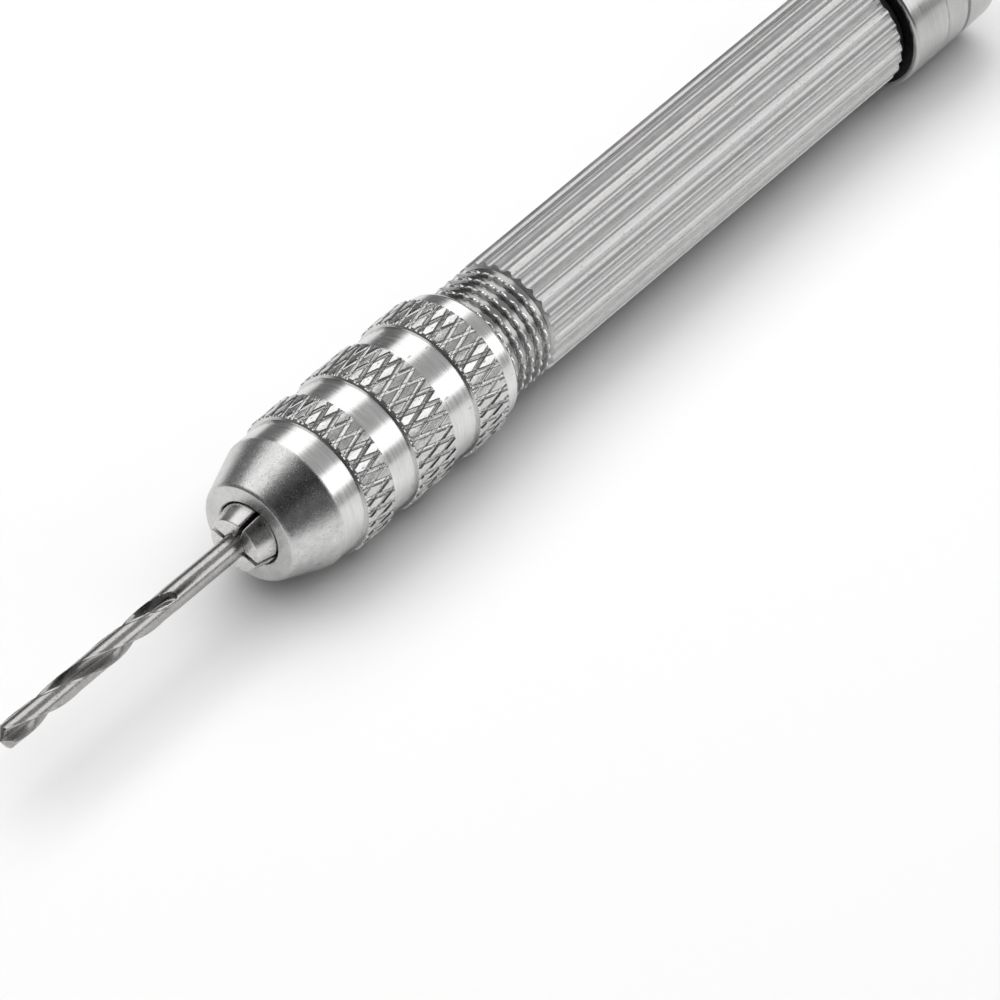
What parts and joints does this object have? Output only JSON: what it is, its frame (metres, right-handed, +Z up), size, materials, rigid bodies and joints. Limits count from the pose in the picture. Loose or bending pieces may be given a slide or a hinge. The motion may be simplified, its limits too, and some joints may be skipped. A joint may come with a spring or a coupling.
{
  "type": "pin vise drill",
  "caption": "Hand-held pin vise with a knurled screw chuck, slit collet holding a small twist drill, fluted grip and swivel palm cap.",
  "frame": {"origin": "on the surface that the tool lies on, under the middle of its overall box", "axes": "+X along the tool axis towards the swivel cap, -X towards the drill point, +Z up"},
  "size_m": [0.1206, 0.0128, 0.0128],
  "materials": {
    "fluted_aluminium": "satin, drawn along the flutes",
    "turned_aluminium": "turned bands, satin nose and bright knurl",
    "cap_aluminium": "fine satin",
    "collet_steel": "ground",
    "drill_steel": "ground high-speed steel",
    "plated_steel": "bright zinc",
    "bush_bronze": "oiled sintered bronze",
    "black_acetal": "matte"
  },
  "bodies": {
    "grip": {"handle": "fluted_aluminium", "thrust_washer": "black_acetal", "pivot_screw": "plated_steel", "head_washer": "plated_steel"},
    "collet": {"collet_core": "collet_steel"},
    "sleeve": {"chuck_sleeve": "turned_aluminium"},
    "finger_1": {"collet_finger_1": "collet_steel"},
    "finger_2": {"collet_finger_2": "collet_steel"},
    "finger_3": {"collet_finger_3": "collet_steel"},
    "finger_4": {"collet_finger_4": "collet_steel"},
    "bit": {"drill_bit": "drill_steel"},
    "cap": {"swivel_cap": "cap_aluminium", "bearing_bush": "bush_bronze", "cap_plug": "cap_aluminium"}
  },
  "joints": [
    {"name": "sleeve_turn", "type": "hinge", "parent": "grip", "child": "collet", "pos_m": [-0.031, 0, 0.0064], "axis": [-1, 0, 0], "range_deg": [0, 540]},
    {"name": "sleeve_travel", "type": "slide", "parent": "collet", "child": "sleeve", "axis": [-1, 0, 0], "range_m": [0, 0.0015]},
    {"name": "bit_slide", "type": "slide", "parent": "collet", "child": "bit", "axis": [-1, 0, 0], "range_m": [-0.024, 0.012]},
    {"name": "cap_spin", "type": "hinge", "parent": "grip", "child": "cap", "pos_m": [0.054, 0, 0.0064], "axis": [1, 0, 0], "continuous": true},
    {"name": "finger_1_spring", "type": "hinge", "parent": "collet", "child": "finger_1", "pos_m": [-0.0205, -0.00295, 0.00787], "axis": [0, 0.4462, 0.8949], "range_deg": [0, 1.6]},
    {"name": "finger_2_spring", "type": "hinge", "parent": "collet", "child": "finger_2", "pos_m": [-0.0205, -0.00147, 0.00345], "axis": [0, -0.8949, 0.4462], "range_deg": [0, 1.6]},
    {"name": "finger_3_spring", "type": "hinge", "parent": "collet", "child": "finger_3", "pos_m": [-0.0205, 0.00295, 0.00493], "axis": [0, -0.4462, -0.8949], "range_deg": [0, 1.6]},
    {"name": "finger_4_spring", "type": "hinge", "parent": "collet", "child": "finger_4", "pos_m": [-0.0205, 0.00147, 0.00935], "axis": [0, 0.8949, -0.4462], "range_deg": [0, 1.6]}
  ],
  "couplings": [
    {"joint": "sleeve_travel", "follows": "sleeve_turn", "m_per_rad": 0.00015915},
    {"joint": "finger_1_spring", "follows": "sleeve_turn", "ratio": 0.002963},
    {"joint": "finger_2_spring", "follows": "sleeve_turn", "ratio": 0.002963},
    {"joint": "finger_3_spring", "follows": "sleeve_turn", "ratio": 0.002963},
    {"joint": "finger_4_spring", "follows": "sleeve_turn", "ratio": 0.002963}
  ]
}
